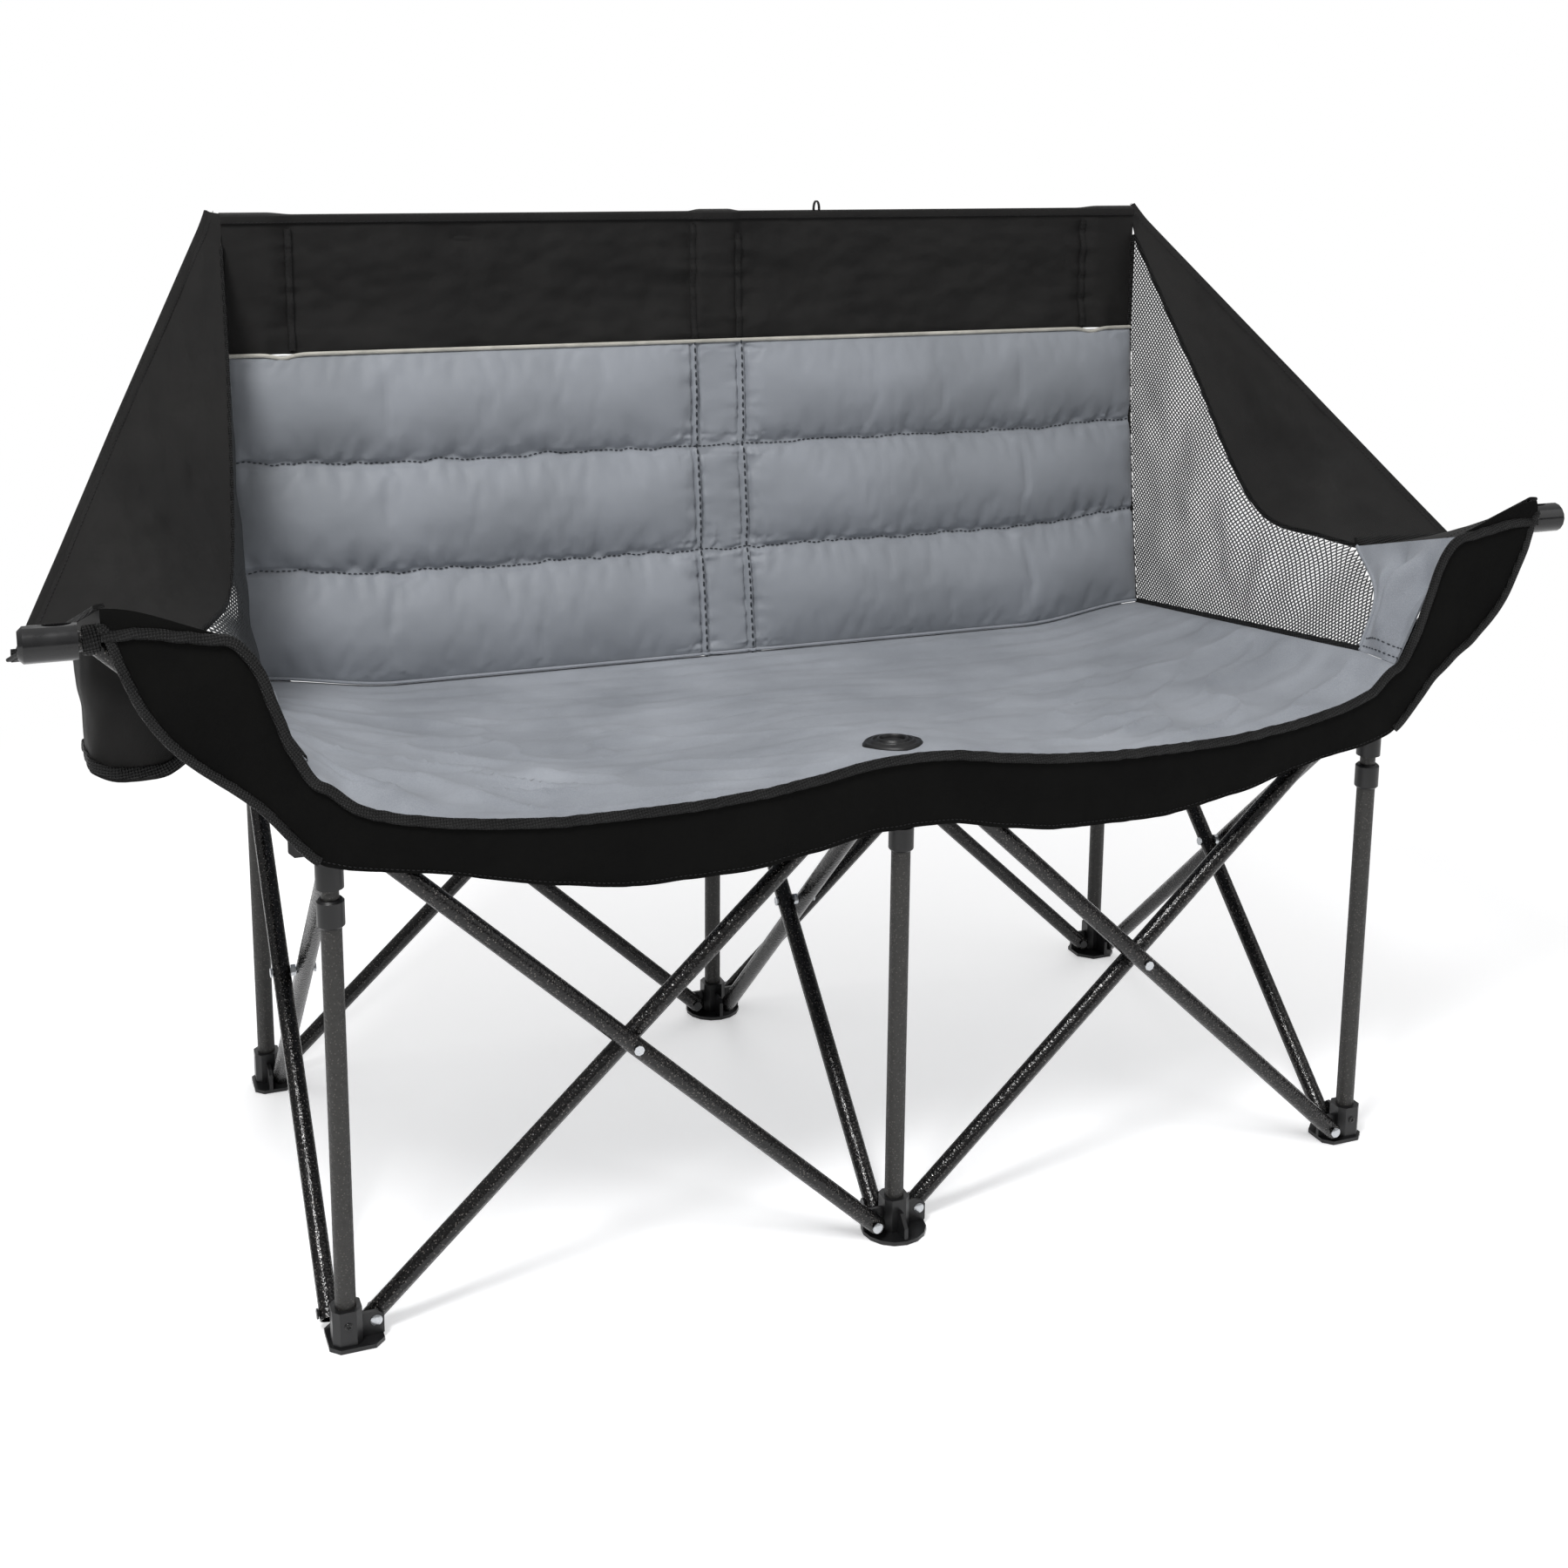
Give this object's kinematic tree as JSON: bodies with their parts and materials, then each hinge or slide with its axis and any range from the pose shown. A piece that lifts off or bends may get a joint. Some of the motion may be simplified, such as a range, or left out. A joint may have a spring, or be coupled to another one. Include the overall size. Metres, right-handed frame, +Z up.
{
  "type": "folding camping loveseat",
  "caption": "Wide camping loveseat on a folding scissor frame of steel tube, with a padded back, mesh sides, wings, arm panels, a cup pocket and a heater switch.",
  "frame": {"origin": "on the floor under the middle of the frame", "axes": "+X along the seat to the right as seen from the front, +Y from the front to the back, +Z up"},
  "size_m": [1.5788, 0.611, 0.9956],
  "materials": {
    "steel tube": "black hammered powder coat",
    "moulded plastic": "black, finely grained",
    "rivets": "bright zinc",
    "grey cloth": "blue-grey polyester, soft sheen",
    "black cloth": "black coated polyester, plain weave",
    "net": "open grey net",
    "switch rubber": "black rubber"
  },
  "bodies": {
    "centre front post": {"foot_front_centre": "moulded plastic", "front_post_centre": "steel tube", "collar_centre": "moulded plastic"},
    "left arm tube": {"arm_tube_left": "steel tube", "arm_grip_left": "moulded plastic", "rivet_front_left": "rivets", "arm_panel_left": "grey cloth", "cup_pocket": "black cloth"},
    "left front tube": {"front_tube_left": "steel tube"},
    "left front post": {"foot_front_left": "moulded plastic", "front_post_left": "steel tube", "collar_left": "moulded plastic"},
    "left bracket": {"bracket_left": "moulded plastic", "inner_tube_left": "steel tube"},
    "centre bracket": {"bracket_centre": "moulded plastic", "inner_tube_centre": "steel tube", "front_apron": "black cloth"},
    "right arm tube": {"arm_tube_right": "steel tube", "arm_grip_right": "moulded plastic", "rivet_front_right": "rivets", "arm_panel_right": "grey cloth"},
    "right front tube": {"front_tube_right": "steel tube"},
    "right front post": {"foot_front_right": "moulded plastic", "front_post_right": "steel tube", "collar_right": "moulded plastic"},
    "right bracket": {"bracket_right": "moulded plastic", "inner_tube_right": "steel tube"},
    "centre side tube front": {"side_tube_centre_front": "steel tube", "rivet_side_centre": "rivets"},
    "centre side tube rear": {"side_tube_centre_rear": "steel tube"},
    "centre rear pole": {"foot_rear_centre": "moulded plastic", "rear_pole_centre": "steel tube", "back_pad": "grey cloth", "head_band": "black cloth"},
    "centre slider": {"slider_centre": "moulded plastic"},
    "left rear tube inner": {"rear_tube_left_in": "steel tube", "rivet_rear_left": "rivets"},
    "left rear tube outer": {"rear_tube_left_out": "steel tube"},
    "left rear pole": {"foot_rear_left": "moulded plastic", "rear_pole_left": "steel tube", "wing_left": "black cloth", "net_left": "net"},
    "left slider": {"slider_left": "moulded plastic"},
    "right rear tube inner": {"rear_tube_right_in": "steel tube", "rivet_rear_right": "rivets"},
    "right rear tube outer": {"rear_tube_right_out": "steel tube"},
    "right rear pole": {"foot_rear_right": "moulded plastic", "rear_pole_right": "steel tube", "wing_right": "black cloth", "net_right": "net"},
    "right slider": {"slider_right": "moulded plastic"},
    "left side tube front": {"side_tube_left_front": "steel tube", "rivet_side_left": "rivets"},
    "left side tube rear": {"side_tube_left_rear": "steel tube"},
    "right side tube front": {"side_tube_right_front": "steel tube", "rivet_side_right": "rivets"},
    "right side tube rear": {"side_tube_right_rear": "steel tube"},
    "seat front": {"seat_front": "grey cloth"},
    "seat rear": {"seat_rear": "grey cloth"},
    "heater switch": {"switch_button": "switch rubber"}
  },
  "joints": [
    {"name": "fold", "type": "hinge", "parent": "centre front post", "child": "left arm tube", "pos_m": [-0.027, -0.2725, 0.018], "axis": [0, 1, 0], "range_deg": [0, 40.5], "deforming": ["seat_front", "seat_rear", "back_pad", "head_band", "front_apron", "wing_left", "wing_right", "net_left", "net_right", "arm_panel_left", "arm_panel_right", "cup_pocket"]},
    {"name": "left front cross", "type": "hinge", "parent": "left arm tube", "child": "left front tube", "pos_m": [-0.2725, -0.2725, 0.249], "axis": [0, -1, 0], "range_deg": [0, 81]},
    {"name": "left front foot", "type": "hinge", "parent": "left front tube", "child": "left front post", "pos_m": [-0.518, -0.2725, 0.018], "axis": [0, 1, 0], "range_deg": [0, 40.5]},
    {"name": "left bracket pin", "type": "hinge", "parent": "left arm tube", "child": "left bracket", "pos_m": [-0.518, -0.2725, 0.48], "axis": [0, -1, 0], "range_deg": [0, 40.5]},
    {"name": "centre bracket pin", "type": "hinge", "parent": "left front tube", "child": "centre bracket", "pos_m": [-0.027, -0.2725, 0.48], "axis": [0, 1, 0], "range_deg": [0, 40.5]},
    {"name": "right arm foot pin", "type": "hinge", "parent": "centre front post", "child": "right arm tube", "pos_m": [0.027, -0.2725, 0.018], "axis": [0, -1, 0], "range_deg": [0, 40.5]},
    {"name": "right front cross", "type": "hinge", "parent": "right arm tube", "child": "right front tube", "pos_m": [0.2725, -0.2725, 0.249], "axis": [0, 1, 0], "range_deg": [0, 81]},
    {"name": "right front foot", "type": "hinge", "parent": "right front tube", "child": "right front post", "pos_m": [0.518, -0.2725, 0.018], "axis": [0, -1, 0], "range_deg": [0, 40.5]},
    {"name": "right bracket pin", "type": "hinge", "parent": "right arm tube", "child": "right bracket", "pos_m": [0.518, -0.2725, 0.48], "axis": [0, 1, 0], "range_deg": [0, 40.5]},
    {"name": "centre side foot pin", "type": "hinge", "parent": "centre front post", "child": "centre side tube front", "pos_m": [0, -0.2455, 0.018], "axis": [1, 0, 0], "range_deg": [0, 40.5]},
    {"name": "centre side cross", "type": "hinge", "parent": "centre side tube front", "child": "centre side tube rear", "pos_m": [0, 0, 0.249], "axis": [-1, 0, 0], "range_deg": [0, 81]},
    {"name": "centre rear foot", "type": "hinge", "parent": "centre side tube rear", "child": "centre rear pole", "pos_m": [0, 0.2455, 0.018], "axis": [1, 0, 0], "range_deg": [0, 40.5]},
    {"name": "centre slider pin", "type": "hinge", "parent": "centre side tube front", "child": "centre slider", "pos_m": [0, 0.2455, 0.48], "axis": [-1, 0, 0], "range_deg": [0, 40.5]},
    {"name": "left rear foot pin", "type": "hinge", "parent": "centre rear pole", "child": "left rear tube inner", "pos_m": [-0.027, 0.2725, 0.018], "axis": [0, 1, 0], "range_deg": [0, 40.5]},
    {"name": "left rear cross", "type": "hinge", "parent": "left rear tube inner", "child": "left rear tube outer", "pos_m": [-0.2725, 0.2725, 0.249], "axis": [0, -1, 0], "range_deg": [0, 81]},
    {"name": "left rear foot", "type": "hinge", "parent": "left rear tube outer", "child": "left rear pole", "pos_m": [-0.518, 0.2725, 0.018], "axis": [0, 1, 0], "range_deg": [0, 40.5]},
    {"name": "left slider pin", "type": "hinge", "parent": "left rear tube inner", "child": "left slider", "pos_m": [-0.518, 0.2725, 0.48], "axis": [0, -1, 0], "range_deg": [0, 40.5]},
    {"name": "right rear foot pin", "type": "hinge", "parent": "centre rear pole", "child": "right rear tube inner", "pos_m": [0.027, 0.2725, 0.018], "axis": [0, -1, 0], "range_deg": [0, 40.5]},
    {"name": "right rear cross", "type": "hinge", "parent": "right rear tube inner", "child": "right rear tube outer", "pos_m": [0.2725, 0.2725, 0.249], "axis": [0, 1, 0], "range_deg": [0, 81]},
    {"name": "right rear foot", "type": "hinge", "parent": "right rear tube outer", "child": "right rear pole", "pos_m": [0.518, 0.2725, 0.018], "axis": [0, -1, 0], "range_deg": [0, 40.5]},
    {"name": "right slider pin", "type": "hinge", "parent": "right rear tube inner", "child": "right slider", "pos_m": [0.518, 0.2725, 0.48], "axis": [0, 1, 0], "range_deg": [0, 40.5]},
    {"name": "left side foot pin", "type": "hinge", "parent": "left front post", "child": "left side tube front", "pos_m": [-0.545, -0.2455, 0.018], "axis": [1, 0, 0], "range_deg": [0, 40.5]},
    {"name": "left side cross", "type": "hinge", "parent": "left side tube front", "child": "left side tube rear", "pos_m": [-0.545, 0, 0.249], "axis": [-1, 0, 0], "range_deg": [0, 81]},
    {"name": "right side foot pin", "type": "hinge", "parent": "right front post", "child": "right side tube front", "pos_m": [0.545, -0.2455, 0.018], "axis": [1, 0, 0], "range_deg": [0, 40.5]},
    {"name": "right side cross", "type": "hinge", "parent": "right side tube front", "child": "right side tube rear", "pos_m": [0.545, 0, 0.249], "axis": [-1, 0, 0], "range_deg": [0, 81]},
    {"name": "seat front fold", "type": "hinge", "parent": "centre bracket", "child": "seat front", "pos_m": [0, -0.243, 0.488], "axis": [-1, 0, 0], "range_deg": [0, 76.95]},
    {"name": "seat rear fold", "type": "hinge", "parent": "centre slider", "child": "seat rear", "pos_m": [0, 0.2, 0.478], "axis": [1, 0, 0], "range_deg": [0, 76.95]},
    {"name": "switch press", "type": "slide", "parent": "seat front", "child": "heater switch", "axis": [0, 0, -1], "range_m": [0, 0.0015], "stiffness_N_per_m": 600, "springref_m": -0.0015}
  ],
  "couplings": [
    {"joint": "left front cross", "follows": "fold", "ratio": 2},
    {"joint": "left front foot", "follows": "fold", "ratio": 1},
    {"joint": "left bracket pin", "follows": "fold", "ratio": 1},
    {"joint": "centre bracket pin", "follows": "fold", "ratio": 1},
    {"joint": "right arm foot pin", "follows": "fold", "ratio": 1},
    {"joint": "right front cross", "follows": "fold", "ratio": 2},
    {"joint": "right front foot", "follows": "fold", "ratio": 1},
    {"joint": "right bracket pin", "follows": "fold", "ratio": 1},
    {"joint": "centre side foot pin", "follows": "fold", "ratio": 1},
    {"joint": "centre side cross", "follows": "fold", "ratio": 2},
    {"joint": "centre rear foot", "follows": "fold", "ratio": 1},
    {"joint": "centre slider pin", "follows": "fold", "ratio": 1},
    {"joint": "left rear foot pin", "follows": "fold", "ratio": 1},
    {"joint": "left rear cross", "follows": "fold", "ratio": 2},
    {"joint": "left rear foot", "follows": "fold", "ratio": 1},
    {"joint": "left slider pin", "follows": "fold", "ratio": 1},
    {"joint": "right rear foot pin", "follows": "fold", "ratio": 1},
    {"joint": "right rear cross", "follows": "fold", "ratio": 2},
    {"joint": "right rear foot", "follows": "fold", "ratio": 1},
    {"joint": "right slider pin", "follows": "fold", "ratio": 1},
    {"joint": "left side foot pin", "follows": "fold", "ratio": 1},
    {"joint": "left side cross", "follows": "fold", "ratio": 2},
    {"joint": "right side foot pin", "follows": "fold", "ratio": 1},
    {"joint": "right side cross", "follows": "fold", "ratio": 2},
    {"joint": "seat front fold", "follows": "fold", "ratio": 1.9},
    {"joint": "seat rear fold", "follows": "fold", "ratio": 1.9}
  ]
}
